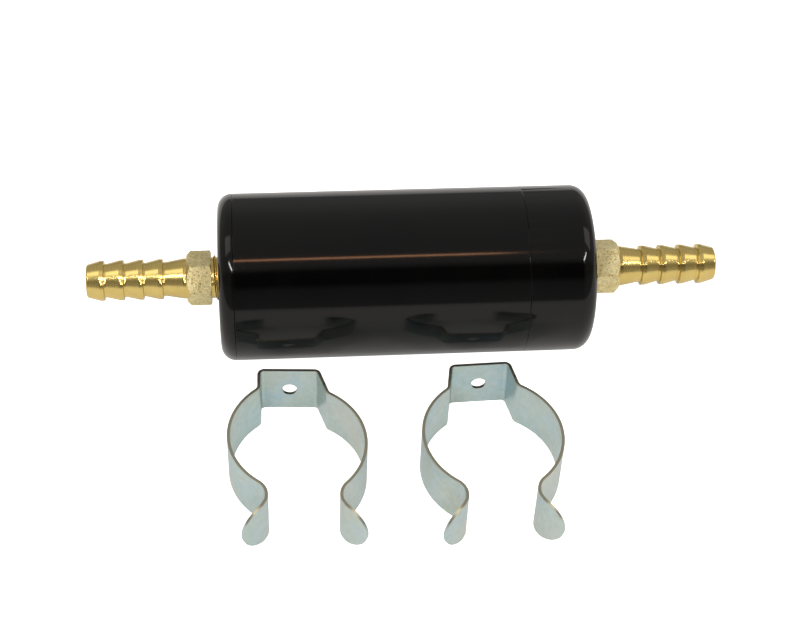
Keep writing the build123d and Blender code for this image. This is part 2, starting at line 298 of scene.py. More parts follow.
edgeValues = {
    "alikeFlat": 0.985, "alikeEdge": 0.85, "detail": 4.0, "breakLow": 0.3, "breakHigh": 0.62,
    "leastWear": 0.25,
}


def makeEdgeGroup():
    # how close a point is to an outer edge, broken up so that the wear is uneven
    v = edgeValues
    group, board, given, out = newGroup(
        "edgeWear",
        [("Reach", "NodeSocketFloat", 0.0003), ("Breakup", "NodeSocketFloat", 900.0)],
        [("Mask", "NodeSocketFloat")],
    )
    bevel = board.add("ShaderNodeBevel", {"Radius": given["Reach"]}, samples=4).outputs[0]
    normal = board.add("ShaderNodeNewGeometry").outputs["Normal"]
    alike = board.add("ShaderNodeVectorMath", {0: bevel, 1: normal}, operation="DOT_PRODUCT")
    edge = board.remap(alike.outputs["Value"], v["alikeFlat"], v["alikeEdge"], 0.0, 1.0)
    place = board.add("ShaderNodeTexCoord").outputs["Object"]
    broken = board.add(
        "ShaderNodeTexNoise", {"Vector": place, "Scale": given["Breakup"], "Detail": v["detail"]}
    ).outputs["Fac"]
    uneven = board.remap(broken, v["breakLow"], v["breakHigh"], v["leastWear"], 1.0)
    board.tree.links.new(board.maths("MULTIPLY", edge, uneven), out.inputs["Mask"])
    return group


mottleValues = {
    "patchDetail": 5.0, "patchRoughness": 0.55, "distortion": 0.6, "patchLow": 0.32, "patchHigh": 0.68,
    "speckleDetail": 3.0, "speckleLow": 0.35, "speckleHigh": 0.65,
}


def makeMottleGroup():
    # cloudy patches and fine speckle
    v = mottleValues
    group, board, given, out = newGroup(
        "mottle",
        [("Patch scale", "NodeSocketFloat", 120.0), ("Speckle scale", "NodeSocketFloat", 2500.0)],
        [("Patches", "NodeSocketFloat"), ("Speckle", "NodeSocketFloat")],
    )
    place = board.add("ShaderNodeTexCoord").outputs["Object"]
    patches = board.add(
        "ShaderNodeTexNoise",
        {
            "Vector": place, "Scale": given["Patch scale"], "Detail": v["patchDetail"],
            "Roughness": v["patchRoughness"], "Distortion": v["distortion"],
        },
    ).outputs["Fac"]
    speckle = board.add(
        "ShaderNodeTexNoise", {"Vector": place, "Scale": given["Speckle scale"], "Detail": v["speckleDetail"]}
    ).outputs["Fac"]
    patchMask = board.remap(patches, v["patchLow"], v["patchHigh"], 0.0, 1.0)
    speckleMask = board.remap(speckle, v["speckleLow"], v["speckleHigh"], 0.0, 1.0)
    board.tree.links.new(patchMask, out.inputs["Patches"])
    board.tree.links.new(speckleMask, out.inputs["Speckle"])
    return group


turningMarks = makeTurningGroup()
edgeWear = makeEdgeGroup()
mottle = makeMottleGroup()


def newMaterial(name):
    material = bpy.data.materials.new(name)
    material.use_nodes = True
    board = NodeBoard(material.node_tree)
    return material, board, material.node_tree.nodes["Principled BSDF"]


def useGroup(board, group, **inputs):
    return board.add(
        "ShaderNodeGroup", {key.replace("_", " "): value for key, value in inputs.items()}, node_tree=group
    ).outputs


def useAll(board, look):
    # the three shared effects at the scales that a look states: clouds, turning marks and edge mask
    clouds = useGroup(board, mottle, Patch_scale=look["patchScale"], Speckle_scale=look["speckleScale"])
    marks = useGroup(board, turningMarks, Rings_per_metre=look["rings"], Waviness=look["waviness"])
    edge = useGroup(board, edgeWear, Reach=look["edgeReach"], Breakup=look["edgeBreakup"])["Mask"]
    return clouds, marks, edge


def setRoughness(board, shader, mask, look):
    roughness = board.remap(mask, 0, 1, look["roughLow"], look["roughHigh"])
    board.tree.links.new(roughness, shader.inputs["Roughness"])


def bumpInto(board, shader, height, strength, distance):
    bump = board.add("ShaderNodeBump", {"Strength": strength, "Distance": distance, "Height": height})
    board.tree.links.new(bump.outputs["Normal"], shader.inputs["Normal"])


# ---- finishes ----

anodisedLook = {
    "dark": (0.0012, 0.0012, 0.0014, 1), "light": (0.0028, 0.0026, 0.0025, 1),
    "wornEdge": (0.03, 0.029, 0.028, 1), "roughLow": 0.07, "roughHigh": 0.11, "gloss": 0.30,
    "patchScale": 45.0, "speckleScale": 2600.0, "rings": 5200.0, "waviness": 0.25, "edgeReach": 0.00018,
    "edgeBreakup": 700.0, "wear": 0.3, "bump": 0.05, "bumpDepth": 0.00002,
}


def makeAnodised():
    material, board, shader = newMaterial("blackAnodised")
    look = anodisedLook
    clouds, marks, edge = useAll(board, look)
    body = board.mixColour(clouds["Patches"], look["dark"], look["light"])
    colour = board.mixColour(board.maths("MULTIPLY", edge, look["wear"]), body, look["wornEdge"])
    board.tree.links.new(colour, shader.inputs["Base Color"])
    setRoughness(board, shader, clouds["Speckle"], look)
    shader.inputs["Specular IOR Level"].default_value = look["gloss"]
    bumpInto(board, shader, marks["Height"], look["bump"], look["bumpDepth"])
    return material


brassLook = {
    "bright": (0.80, 0.62, 0.22, 1), "deep": (0.58, 0.42, 0.13, 1), "tarnish": (0.46, 0.32, 0.11, 1),
    "roughLow": 0.17, "roughHigh": 0.28, "patchScale": 160.0, "speckleScale": 3200.0, "rings": 11000.0,
    "waviness": 0.2, "edgeReach": 0.00025, "edgeBreakup": 1200.0, "cloudShare": 0.45, "ringShare": 0.16,
    "wear": 0.5, "bump": 0.35, "bumpDepth": 0.00003,
}


def makeTurnedBrass():
    material, board, shader = newMaterial("turnedBrass")
    look = brassLook
    clouds, marks, edge = useAll(board, look)
    cloudy = board.maths("MULTIPLY", clouds["Patches"], look["cloudShare"])
    body = board.mixColour(cloudy, look["bright"], look["deep"])
    rings = board.maths("MULTIPLY", marks["Ring mask"], look["ringShare"])
    ringed = board.mixColour(rings, body, look["tarnish"])
    colour = board.mixColour(board.maths("MULTIPLY", edge, look["wear"]), ringed, look["bright"])
    board.tree.links.new(colour, shader.inputs["Base Color"])
    setRoughness(board, shader, marks["Ring mask"], look)
    shader.inputs["Metallic"].default_value = 1.0
    bumpInto(board, shader, marks["Height"], look["bump"], look["bumpDepth"])
    return material


drawnLook = {
    "bright": (1.0, 0.90, 0.54, 1), "dull": (0.82, 0.68, 0.33, 1), "pit": (0.30, 0.24, 0.09, 1),
    "roughLow": 0.42, "roughHigh": 0.62, "patchScale": 420.0, "speckleScale": 2400.0, "pitScale": 1150.0,
    "pitDeep": 0.16, "pitRim": 0.36, "pitShare": 0.55, "edgeReach": 0.0003, "edgeBreakup": 1200.0,
    "wear": 0.7, "bump": 0.8, "bumpDepth": 0.00009,
}


def makeDrawnBrass():
    # the hexagon's flats keep the pitted skin of the drawn bar
    material, board, shader = newMaterial("drawnBrass")
    look = drawnLook
    clouds = useGroup(board, mottle, Patch_scale=look["patchScale"], Speckle_scale=look["speckleScale"])
    edge = useGroup(board, edgeWear, Reach=look["edgeReach"], Breakup=look["edgeBreakup"])["Mask"]
    place = board.add("ShaderNodeTexCoord").outputs["Object"]
    cells = board.add("ShaderNodeTexVoronoi", {"Vector": place, "Scale": look["pitScale"]}).outputs[0]
    pits = board.remap(cells, look["pitDeep"], look["pitRim"], 1.0, 0.0)
    body = board.mixColour(clouds["Patches"], look["bright"], look["dull"])
    pitted = board.mixColour(board.maths("MULTIPLY", pits, look["pitShare"]), body, look["pit"])
    colour = board.mixColour(board.maths("MULTIPLY", edge, look["wear"]), pitted, look["bright"])
    board.tree.links.new(colour, shader.inputs["Base Color"])
    setRoughness(board, shader, clouds["Speckle"], look)
    shader.inputs["Metallic"].default_value = 1.0
    height = board.maths("SUBTRACT", clouds["Speckle"], pits)
    bumpInto(board, shader, height, look["bump"], look["bumpDepth"])
    return material


zincLook = {
    "blue": (0.42, 0.61, 0.70, 1), "green": (0.47, 0.60, 0.53, 1), "pale": (0.64, 0.74, 0.76, 1),
    "warm": (0.64, 0.60, 0.53, 1), "edge": (0.46, 0.41, 0.28, 1), "roughLow": 0.25, "roughHigh": 0.38,
    "cloudScales": (95.0, 2100.0), "fineScales": (520.0, 5000.0), "driftScales": (38.0, 7000.0),
    "edgeReach": 0.0003, "edgeBreakup": 1000.0, "warmShare": 0.7, "paleShare": 0.5, "grain": 0.16,
    "levelFrom": 0.45, "levelTo": 0.85, "wear": 0.5, "rimShare": 0.85, "bump": 0.22, "bumpDepth": 0.00005,
}


def makeZinc():
    # bluish plate with greenish clouds; the sheared long edges are yellower
    material, board, shader = newMaterial("zincPlate")
    look = zincLook
    clouds, fine, drift = (
        useGroup(board, mottle, Patch_scale=look[key][0], Speckle_scale=look[key][1])
        for key in ("cloudScales", "fineScales", "driftScales")
    )
    edge = useGroup(board, edgeWear, Reach=look["edgeReach"], Breakup=look["edgeBreakup"])["Mask"]
    tinted = board.mixColour(clouds["Patches"], look["blue"], look["green"])
    warmth = board.maths("MULTIPLY", drift["Patches"], look["warmShare"])
    warmed = board.mixColour(warmth, tinted, look["warm"])
    paleness = board.maths("MULTIPLY", fine["Patches"], look["paleShare"])
    cloudy = board.mixColour(paleness, warmed, look["pale"])
    grain = board.maths("MULTIPLY", board.maths("SUBTRACT", 1.0, drift["Speckle"]), look["grain"])
    body = board.mixColour(grain, cloudy, look["edge"])
    normal = board.add("ShaderNodeNewGeometry").outputs["Normal"]
    upright = board.maths("ABSOLUTE", board.add("ShaderNodeSeparateXYZ", {0: normal}).outputs["Z"])
    sheared = board.remap(upright, look["levelFrom"], look["levelTo"], 0.0, 1.0)
    rim = board.maths("MAXIMUM", sheared, board.maths("MULTIPLY", edge, look["wear"]))
    colour = board.mixColour(board.maths("MULTIPLY", rim, look["rimShare"]), body, look["edge"])
    board.tree.links.new(colour, shader.inputs["Base Color"])
    setRoughness(board, shader, fine["Speckle"], look)
    shader.inputs["Metallic"].default_value = 1.0
    height = board.maths("ADD", fine["Patches"], board.maths("MULTIPLY", clouds["Speckle"], 0.5))
    bumpInto(board, shader, height, look["bump"], look["bumpDepth"])
    return material


plainLooks = {
    "stainless": {
        "light": (0.62, 0.61, 0.60, 1), "dark": (0.47, 0.46, 0.45, 1), "roughLow": 0.18, "roughHigh": 0.32,
        "metal": 1.0,
    },
    "nickelPlate": {
        "light": (0.72, 0.69, 0.64, 1), "dark": (0.60, 0.57, 0.52, 1), "roughLow": 0.10, "roughHigh": 0.2,
        "metal": 1.0,
    },
    "mildSteel": {
        "light": (0.42, 0.42, 0.43, 1), "dark": (0.27, 0.27, 0.28, 1), "roughLow": 0.3, "roughHigh": 0.45,
        "metal": 1.0,
    },
    "sealRubber": {
        "light": (0.02, 0.02, 0.02, 1), "dark": (0.009, 0.009, 0.009, 1), "roughLow": 0.4, "roughHigh": 0.6,
        "metal": 0.0,
    },
}
plainShared = {
    "patchScale": 200.0, "speckleScale": 2800.0, "rings": 9000.0, "waviness": 0.3, "edgeReach": 0.0002,
    "edgeBreakup": 900.0, "wear": 0.4, "bump": 0.15, "bumpDepth": 0.00002,
}


def makePlain(name):
    look = plainLooks[name] | plainShared
    material, board, shader = newMaterial(name)
    clouds, marks, edge = useAll(board, look)
    body = board.mixColour(clouds["Patches"], look["light"], look["dark"])
    colour = board.mixColour(board.maths("MULTIPLY", edge, look["wear"]), body, look["light"])
    board.tree.links.new(colour, shader.inputs["Base Color"])
    setRoughness(board, shader, clouds["Speckle"], look)
    shader.inputs["Metallic"].default_value = look["metal"]
    bumpInto(board, shader, marks["Height"], look["bump"], look["bumpDepth"])
    return material


anodised = makeAnodised()
turnedBrass = makeTurnedBrass()
drawnBrass = makeDrawnBrass()
zincPlate = makeZinc()
plain = {name: makePlain(name) for name in plainLooks}

slotFinishes = {
    "black_anodised": anodised, "brass": turnedBrass, "seal_rubber": plain["sealRubber"],
    "stainless": plain["stainless"], "magnet_plating": plain["nickelPlate"],
    "pole_steel": plain["mildSteel"], "zinc_plated_spring_steel": zincPlate,
}
for subpart in frame["record"]["subparts"]:
    mesh = nodes[subpart["node"]].data
    mesh.materials.clear()
    mesh.materials.append(slotFinishes[subpart["material_slot"]])
print("finishes made")


# ---- camera ----

cameraValues = {
    "azimuth": -6.0, "elevation": 45.0, "roll": 2.58, "distance": 0.542, "lens": 80.775,
    "aimX": -0.0011, "dip": 1.5286, "sensor": 36.0,
}


def makeCamera():
    v = cameraValues
    angles = ("azimuth", "elevation", "roll", "dip")
    azimuth, elevation, roll, dip = (math.radians(v[key]) for key in angles)
    back = Vector((
        math.sin(azimuth) * math.cos(elevation), -math.cos(azimuth) * math.cos(elevation), math.sin(elevation)
    ))
    level = Vector((math.cos(azimuth), math.sin(azimuth), 0))
    lift = back.cross(level)
    right = level * math.cos(roll) + lift * math.sin(roll)
    up = lift * math.cos(roll) - level * math.sin(roll)
    place = Vector((v["aimX"], 0, 0)) + back * v["distance"]
    backDipped = back * math.cos(dip) + up * math.sin(dip)  # aimed a little below the canister
    upDipped = up * math.cos(dip) - back * math.sin(dip)
    camera = bpy.data.cameras.new("viewCamera")
    camera.sensor_width = v["sensor"]
    camera.lens = v["lens"]
    holder = bpy.data.objects.new("viewCamera", camera)
    turn = Matrix((right, upDipped, backDipped)).transposed()
    holder.matrix_world = Matrix.Translation(place) @ turn.to_4x4()
    bpy.context.scene.collection.objects.link(holder)
    bpy.context.scene.camera = holder


makeCamera()


# ---- floor, sky and lamps ----

stageValues = {
    "floorSize": 6.0, "floorColour": (0.8, 0.8, 0.8, 1), "seenGlow": 1.2, "mirroredGlow": 0.22,
    "floorRoughness": 0.8, "darkMiddle": 0.07, "darkHalf": 0.15, "fillFull": 0.40, "fillShare": 0.5,
    "sideColour": (0.42, 0.40, 0.37, 1),
}


def makeFloor():
    bpy.ops.object.select_all(action="DESELECT")
    bpy.ops.mesh.primitive_plane_add(size=stageValues["floorSize"], location=(0, 0, floorHeight))
    floor = bpy.context.object
    floor.name = "floor"
    settle(floor)
    material, board, shader = newMaterial("floorWhite")
    shader.inputs["Base Color"].default_value = stageValues["floorColour"]
    shader.inputs["Roughness"].default_value = stageValues["floorRoughness"]
    shader.inputs["Specular IOR Level"].default_value = 0.0
    shader.inputs["Emission Color"].default_value = (1, 1, 1, 1)
    seen = board.add("ShaderNodeLightPath").outputs["Is Camera Ray"]
    glow = board.remap(seen, 0, 1, stageValues["mirroredGlow"], stageValues["seenGlow"])
    board.tree.links.new(glow, shader.inputs["Emission Strength"])
    floor.data.materials.append(material)
    floor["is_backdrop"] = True


# share of a turn round the X axis, from straight down by way of +Y and the top, and the sky's colour there
skyStops = [
    (0.25, (0.22, 0.22, 0.22, 1)), (0.31, (0.42, 0.42, 0.41, 1)), (0.34, (0.48, 0.47, 0.46, 1)),
    (0.44, (0.44, 0.43, 0.42, 1)), (0.52, (0.40, 0.39, 0.38, 1)), (0.588, (0.38, 0.37, 0.36, 1)),
    (0.612, (0.0, 0.0, 0.0, 1)), (0.660, (0.0, 0.0, 0.0, 1)), (0.683, (0.17, 0.17, 0.17, 1)),
    (0.76, (0.26, 0.26, 0.26, 1)),
]


def makeSky():
    # a dim warm room with a dark patch high over the front, which the canister's gloss reflects
    world = bpy.data.worlds.new("room")
    world.use_nodes = True
    bpy.context.scene.world = world
    board = NodeBoard(world.node_tree)
    background = world.node_tree.nodes["Background"]
    direction = board.add("ShaderNodeTexCoord").outputs["Generated"]
    parts = board.add("ShaderNodeSeparateXYZ", {0: direction}).outputs
    forward = board.maths("MULTIPLY", parts["Y"], -1.0)
    lean = board.maths("DIVIDE", board.maths("ARCTAN2", forward, parts["Z"]), math.pi)
    place = board.maths("ADD", board.maths("MULTIPLY", lean, 0.5), 0.5)
    ramp = board.add("ShaderNodeValToRGB", {"Fac": place})
    elements = ramp.color_ramp.elements
    while len(elements) < len(skyStops):
        elements.new(0.5)
    for element, (position, colour) in zip(elements, skyStops):
        element.position = position
        element.color = colour
    aside = board.maths("ABSOLUTE", board.maths("SUBTRACT", parts["X"], stageValues["darkMiddle"]))
    darkHalf, fillFull, fillShare = (stageValues[key] for key in ("darkHalf", "fillFull", "fillShare"))
    sideFill = board.remap(aside, darkHalf, fillFull, 0.0, fillShare)
    colour = board.mixColour(sideFill, ramp.outputs["Color"], stageValues["sideColour"])
    world.node_tree.links.new(colour, background.inputs["Color"])


lamps = {
    "tubeLamp": {
        "place": (0.01, -0.40, 0.92), "size": (0.30, 0.04), "power": 0.34, "colour": (1.0, 0.46, 0.22),
    },
    "leftStrip": {
        "place": (-0.33, -0.50, 0.85), "size": (0.45, 0.045), "power": 2.8, "colour": (1.0, 1.0, 0.96),
    },
    "rightStrip": {
        "place": (0.46, -0.50, 0.85), "size": (0.36, 0.045), "power": 1.9, "colour": (1.0, 1.0, 0.96),
    },
    "leftGlow": {
        "place": (-0.52, 0.05, 0.85), "size": (0.40, 0.65), "power": 1.05, "colour": (1.0, 0.97, 0.90),
    },
    "rightGlow": {
        "place": (0.72, 0.05, 0.75), "size": (0.40, 0.65), "power": 1.05, "colour": (1.0, 0.97, 0.90),
    },
}


def makeLamps():
    for name, values in lamps.items():
        light = bpy.data.lights.new(name, "AREA")
        light.shape = "RECTANGLE"
        light.size, light.size_y = values["size"]
        light.energy = values["power"]
        light.color = values["colour"]
        holder = bpy.data.objects.new(name, light)
        holder.location = values["place"]
        holder.rotation_euler = (-holder.location).to_track_quat("-Z", "Y").to_euler()
        bpy.context.scene.collection.objects.link(holder)


makeFloor()
makeSky()
makeLamps()
bpy.context.scene.view_settings.view_transform = "Standard"
print("camera, floor and lamps placed")


# ---- canister ----

canister = {
    "bore": 0.0221, "seamChamfer": 0.00015, "recessRadius": 0.02325, "recessDepth": 0.005,
    "landRadius": 0.0231, "landDepth": 0.0047, "glandRadius": 0.0216, "glandStart": 0.0012,
    "glandWidth": 0.0025, "threadRoot": 0.0219, "threadCrest": 0.0228, "threadPitch": 0.0015,
    "threadStart": 0.0057, "threadTurns": 5, "chamber": 0.019, "endWall": 0.010,
    "spigot": 0.0142, "ridgeRoot": 0.00118, "ridgeCrest": 0.00014, "inletCorner": 0.0043,
    "capCorner": 0.0047, "cornerSteps": 14, "neckHole": 0.0069, "edge": 0.00008, "support": 0.00015,
    "steps": 192, "ringSteps": 160, "ringSides": 20,
}


def makeBarrel():
    c = canister
    low, high = barrelLow.x, barrelHigh.x
    inner = [
        (low, c["recessRadius"]), (low + c["recessDepth"], c["recessRadius"]),
        (low + c["recessDepth"], c["bore"]), (high - c["recessDepth"], c["bore"]),
        (high - c["recessDepth"], c["recessRadius"]), (high, c["recessRadius"]),
    ]
    outer = [
        (high, axisRadius - c["seamChamfer"]), (high - c["seamChamfer"], axisRadius),
        (low + c["seamChamfer"], axisRadius), (low, axisRadius - c["seamChamfer"]),
    ]
    piece = turnPiece("barrelShell", inner + outer, c["steps"])
    softenEdges(piece, c["edge"])
    finishPiece(piece, "canister", ["barrel"], [anodised])


def closureOutline(face, way, end, corner):
    # way is +1 where the spigot points to +X; end is the outer end face
    c = canister
    glandEnd = c["glandStart"] + c["glandWidth"]
    points = [
        (end, c["neckHole"]), (end + way * c["endWall"], c["neckHole"]),
        (end + way * c["endWall"], c["chamber"]), (face + way * c["spigot"], c["chamber"]),
        (face + way * c["spigot"], c["threadRoot"]), (face + way * c["landDepth"], c["threadRoot"]),
        (face + way * c["landDepth"], c["landRadius"]), (face + way * glandEnd, c["landRadius"]),
        (face + way * glandEnd, c["glandRadius"]), (face + way * c["glandStart"], c["glandRadius"]),
        (face + way * c["glandStart"], c["landRadius"]), (face, c["landRadius"]),
        (face, axisRadius - c["seamChamfer"]), (face - way * c["seamChamfer"], axisRadius),
    ]
    if abs(face - end) > corner + 2 * c["support"]:
        # a ring that keeps the straight part's shading level
        points.append((end + way * (corner + c["support"]), axisRadius))
    lastAngle = 180 if way > 0 else 0
    points += roundCorner(end + way * corner, axisRadius - corner, corner, 90, lastAngle, c["cornerSteps"])
    return points + [(end, axisRadius - corner - c["support"])]


def makeClosure(name, body, node, face, way, end, corner):
    c = canister
    piece = turnPiece(name, closureOutline(face, way, end, corner), c["steps"])
    ridgeStart = face + way * c["threadStart"] - (0 if way > 0 else c["threadTurns"] * c["threadPitch"])
    ridge = screwRidge(
        name + "Thread", ridgeStart, c["threadPitch"], c["threadTurns"], c["threadRoot"], c["threadCrest"],
        c["ridgeRoot"], c["ridgeCrest"],
    )
    combine(piece, ridge, "UNION")
    softenEdges(piece, c["edge"])
    finishPiece(piece, body, [node], [anodised])


def makeSealRing(name, body, node):
    c = canister
    low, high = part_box(node)
    inner, outer = c["glandRadius"], high.z
    middle = (low.x + high.x) / 2
    bpy.ops.object.select_all(action="DESELECT")
    bpy.ops.mesh.primitive_torus_add(
        major_radius=(inner + outer) / 2, minor_radius=(outer - inner) / 2, major_segments=c["ringSteps"],
        minor_segments=c["ringSides"], location=(middle, 0, 0), rotation=(0, math.pi / 2, 0),
    )
    piece = bpy.context.object
    piece.name = name
    settle(piece)
    bpy.ops.object.mode_set(mode="EDIT")
    bpy.ops.mesh.select_all(action="SELECT")
    squeeze = (high.x - low.x) / (outer - inner)
    bpy.ops.transform.resize(value=(squeeze, 1, 1), center_override=(middle, 0, 0))
    bpy.ops.object.mode_set(mode="OBJECT")
    bpy.ops.object.shade_smooth()
    finishPiece(piece, body, [node], [plain["sealRubber"]])


makeBarrel()
makeClosure(
    "inletPlugShell", "canister", "inlet_end_plug", barrelLow.x, 1, plugLow.x, canister["inletCorner"]
)
makeClosure(
    "serviceCapShell", "service_cap", "service_cap", barrelHigh.x, -1, capHigh.x, canister["capCorner"]
)
makeSealRing("inletSealRing", "canister", "inlet_plug_o_ring")
makeSealRing("capSealRing", "cap_seal", "cap_o_ring")
print("canister turned")


# ---- hose barbs ----

hoseBarb = {
    "tipRadius": 0.0051, "valleyRadius": 0.0051, "crestRadius": 0.00605, "firstCrest": 0.0052,
    "pitch": 0.0058, "crests": 4, "land": 0.0012, "step": 0.0002, "flat": 0.0006, "shoulder": 0.0287,
    "hexStart": 0.0297, "hexLength": 0.0073, "hexFlats": 0.01429, "hexTurned": 0.0070,
    "outerChamfer": 0.0013, "innerChamfer": 0.00035, "neckRoot": 0.00615, "neckCrest": 0.00685,
    "neckPitch": 0.00141, "ridgeRoot": 0.00105, "ridgeCrest": 0.00015, "bore": 0.0032, "edge": 0.00012,
    "tipRound": 0.0007, "tipSteps": 5, "nearAxis": 0.0001, "undercut": 0.0001, "intoHexagon": 0.001,
    "hexTrim": 0.0001, "hair": 0.00001, "steps": 128, "hexSteps": 192, "boreSteps": 96, "boreMargin": 0.001,
    "bevelAngle": 20, "smoothAngle": 6, "flatSlope": 0.2, "flatMargin": 0.0002,
    "inletTurn": 51, "outletTurn": 37,
}


def stemOutline(end):
    b = hoseBarb
    tipRound, nearAxis = b["tipRound"], b["nearAxis"]
    inHexagon = b["hexStart"] + b["intoHexagon"]
    points = [(0, nearAxis), (0, b["tipRadius"] - tipRound)]
    points += roundCorner(tipRound, b["tipRadius"] - tipRound, tipRound, 180, 90, b["tipSteps"])[1:]
    for i in range(b["crests"]):
        crest = b["firstCrest"] + i * b["pitch"]
        points += [
            (crest - b["land"], b["crestRadius"]), (crest, b["crestRadius"]),
            (crest + b["step"], b["valleyRadius"]), (crest + b["step"] + b["flat"], b["valleyRadius"]),
        ]
    points += [(b["shoulder"], b["crestRadius"]), (inHexagon, b["crestRadius"])]
    points += [(inHexagon + b["undercut"], b["neckRoot"]), (end, b["neckRoot"]), (end, nearAxis)]
    return points


def makeHexagon(name):
    b = hoseBarb
    start, end = b["hexStart"], b["hexStart"] + b["hexLength"]
    corner = b["hexFlats"] / math.sqrt(3)
    bpy.ops.object.select_all(action="DESELECT")
    bpy.ops.mesh.primitive_cylinder_add(
        vertices=6, radius=corner, depth=b["hexLength"], location=((start + end) / 2, 0, 0),
        rotation=(0, math.pi / 2, 0),
    )
    nut = bpy.context.object
    nut.name = name
    settle(nut)
    past, low, high = corner + b["hexTrim"], start - b["hair"], end + b["hair"]
    envelope = turnPiece(name + "Envelope", [
        (low, b["nearAxis"]), (low, b["hexTurned"]), (start + b["outerChamfer"], past),
        (end - b["innerChamfer"], past), (high, past - 2 * b["innerChamfer"]), (high, b["nearAxis"]),
    ], b["hexSteps"])
    combine(nut, envelope, "INTERSECT")
    return nut


def makeHoseBarb(name, body, node, place):
    b = hoseBarb
    low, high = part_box(node)
    length = high.x - low.x
    piece = turnPiece(name, stemOutline(length), b["steps"])
    combine(piece, makeHexagon(name + "Hexagon"), "UNION")
    neckStart = b["hexStart"] + b["hexLength"] + b["neckPitch"] / 2
    turns = int((length - neckStart) / b["neckPitch"])
    ridge = screwRidge(
        name + "Thread", neckStart, b["neckPitch"], turns, b["neckRoot"], b["neckCrest"],
        b["ridgeRoot"], b["ridgeCrest"],
    )
    combine(piece, ridge, "UNION")
    bpy.ops.object.select_all(action="DESELECT")
    bpy.ops.mesh.primitive_cylinder_add(
        vertices=b["boreSteps"], radius=b["bore"], depth=length + 2 * b["boreMargin"],
        location=(length / 2, 0, 0), rotation=(0, math.pi / 2, 0),
    )
    drill = bpy.context.object
    settle(drill)
    combine(piece, drill, "DIFFERENCE")
    softenEdges(piece, b["edge"], b["bevelAngle"], b["smoothAngle"])
    piece.matrix_world = place
    settle(piece)
    finishPiece(piece, body, [node], [turnedBrass, drawnBrass])
    markFlats(piece, place)


def markFlats(piece, place):
    # the six flats of the hexagon take the drawn finish
    b = hoseBarb
    back = place.inverted()
    for face in piece.data.polygons:
        centre = back @ face.center
        normal = back.to_3x3() @ face.normal
        outside = math.hypot(centre.y, centre.z) > b["neckCrest"] + b["flatMargin"]
        along = b["hexStart"] < centre.x < b["hexStart"] + b["hexLength"]
        if abs(normal.x) < b["flatSlope"] and outside and along:
            face.material_index = 1


def makeHoseBarbs():
    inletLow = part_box("inlet_hose_barb")[0]
    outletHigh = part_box("outlet_hose_barb")[1]
    turnInlet = Matrix.Rotation(math.radians(hoseBarb["inletTurn"]), 4, "X")
    turnOutlet = Matrix.Rotation(math.radians(hoseBarb["outletTurn"]), 4, "X")
    turnOutlet = turnOutlet @ Matrix.Rotation(math.pi, 4, "Z")
    makeHoseBarb(
        "inletHoseBarb", "canister", "inlet_hose_barb", Matrix.Translation((inletLow.x, 0, 0)) @ turnInlet
    )
    makeHoseBarb(
        "outletHoseBarb", "service_cap", "outlet_hose_barb",
        Matrix.Translation((outletHigh.x, 0, 0)) @ turnOutlet,
    )


makeHoseBarbs()
print("hose barbs turned")


# ---- spring clips ----

strip = {
    "thickness": 0.0009, "bridgeHalf": 0.00718, "cornerRadius": 0.0017, "footRadius": 0.0020,
    "gripRadius": 0.0214, "throatRadius": 0.00577, "tip": 0.0065, "tipRadius": 0.028,
    "seamAlongLeg": 0.55, "edge": 0.00018, "bevelAngle": 40, "hole": 0.0022, "holeSteps": 64,
    "blendReach": 0.012, "tipOverlap": 0.0012, "tipShare": 0.9995, "tipWidth": 0.02, "drillLength": 0.006,
    "legSteps": 3, "footSteps": 6, "gripSteps": 44, "throatSteps": 18, "tipSteps": 18, "cornerSteps": 10,
    "halfLegSteps": 2, "bridgeSteps": 4,
}
# leg's splay and length, foot's bend, grip's sweep, throat's turn
armBends = {
    "clip_1_left": (-1.8, 0.00435, 50.6, 103.5, 99.4), "clip_1_right": (19.1, 0.00715, 39.8, 100.8, 91.7),
    "clip_2_left": (10.8, 0.00655, 42.8, 103.8, 98.2), "clip_2_right": (10.5, 0.0068, 44.9, 105.8, 93.4),
}


class StripBender:
    # draws the strip's cross-section along straight runs and bends, flat on the table plane
    def __init__(self, name, point, heading, low, high):
        self.point = Vector((point[0], point[1], 0))
        self.heading = heading
        self.middle = (low + high) / 2
        bpy.ops.object.select_all(action="DESELECT")
        bpy.ops.mesh.primitive_plane_add(size=1, rotation=(0, math.pi / 2, 0))
        self.piece = bpy.context.object
        self.piece.name = name
        self.piece.scale = (high - low, strip["thickness"], 1)
        settle(self.piece)
        self.piece.rotation_euler = (0, 0, heading)
        self.piece.location = (point[0], point[1], self.middle)
        settle(self.piece)
        bpy.ops.object.mode_set(mode="EDIT")
        bpy.ops.mesh.select_all(action="SELECT")

    def tangent(self):
        return Vector((math.cos(self.heading), math.sin(self.heading), 0))

    def straight(self, length, steps):
        for i in range(steps):
            move = self.tangent() * length / steps
            bpy.ops.mesh.extrude_region_move(TRANSFORM_OT_translate={"value": move})
            self.point += move

    def bend(self, radius, turn, steps):
        # turn in radians, positive to the left
        side = Vector((-self.tangent().y, self.tangent().x, 0)) * math.copysign(radius, turn)
        centre = self.point + side
        for i in range(steps):
            arm = self.point - centre
            arm.rotate(Matrix.Rotation(turn / steps, 3, "Z"))
            move = centre + arm - self.point
            bpy.ops.mesh.extrude_region_move(TRANSFORM_OT_translate={"value": move})
            self.point = centre + arm
            self.turnSection(turn / steps)

    def turnSection(self, turn):
        place = (self.point.x, self.point.y, self.middle)
        bpy.ops.transform.rotate(value=-turn, orient_axis="Z", center_override=place)
        self.heading += turn

    def narrow(self, ratio):
        place = (self.point.x, self.point.y, self.middle)
        bpy.ops.transform.resize(value=(1, 1, ratio), center_override=place)

    def done(self):
        bpy.ops.object.mode_set(mode="OBJECT")
        closeUp(self.piece)
        return self.piece


